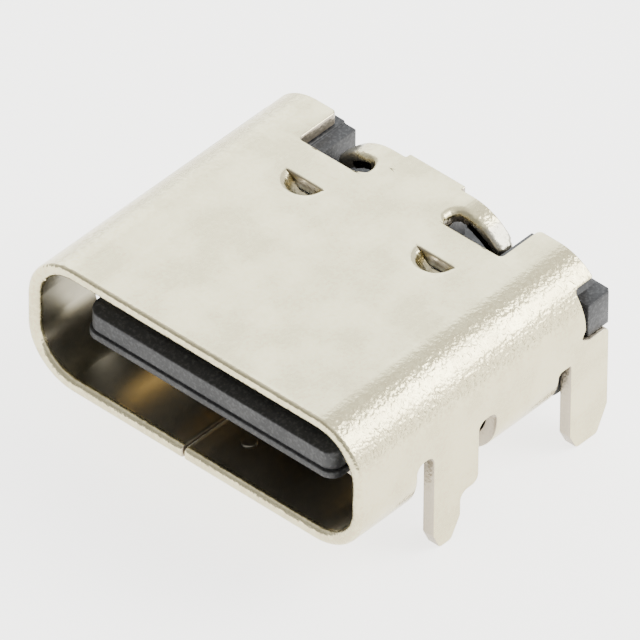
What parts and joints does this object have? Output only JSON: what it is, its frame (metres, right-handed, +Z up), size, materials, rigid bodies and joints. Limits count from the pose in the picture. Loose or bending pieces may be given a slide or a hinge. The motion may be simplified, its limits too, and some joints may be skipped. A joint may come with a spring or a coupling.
{
  "type": "usb-c socket",
  "caption": "Board-mounted receptacle for a reversible serial plug: folded plated shell with through-board stakes, dark moulded tongue and surface solder tails.",
  "frame": {"origin": "middle of the shell's width and depth, on the plane of its underside, which is the board's top", "axes": "+Z up from the board, -Y out of the mouth, +X to the right of someone who looks into the mouth"},
  "size_m": [0.009, 0.0077, 0.0042],
  "materials": {
    "shell_metal": "satin nickel plate",
    "plate_steel": "plain stamped steel",
    "housing_plastic": "glass-filled moulding",
    "insulator_plastic": "glass-filled moulding",
    "contact_gold": "gold flash over nickel"
  },
  "bodies": {
    "root": {"shell": "shell_metal", "housing": "housing_plastic", "upper_block": "insulator_plastic", "lower_block": "insulator_plastic", "latch_plate": "plate_steel", "contact_a1": "contact_gold", "contact_a4": "contact_gold", "contact_a5": "contact_gold", "contact_a6": "contact_gold", "contact_a7": "contact_gold", "contact_a8": "contact_gold", "contact_a9": "contact_gold", "contact_a12": "contact_gold", "contact_b12": "contact_gold", "contact_b9": "contact_gold", "contact_b8": "contact_gold", "contact_b7": "contact_gold", "contact_b6": "contact_gold", "contact_b5": "contact_gold", "contact_b4": "contact_gold", "contact_b1": "contact_gold"}
  },
  "joints": []
}
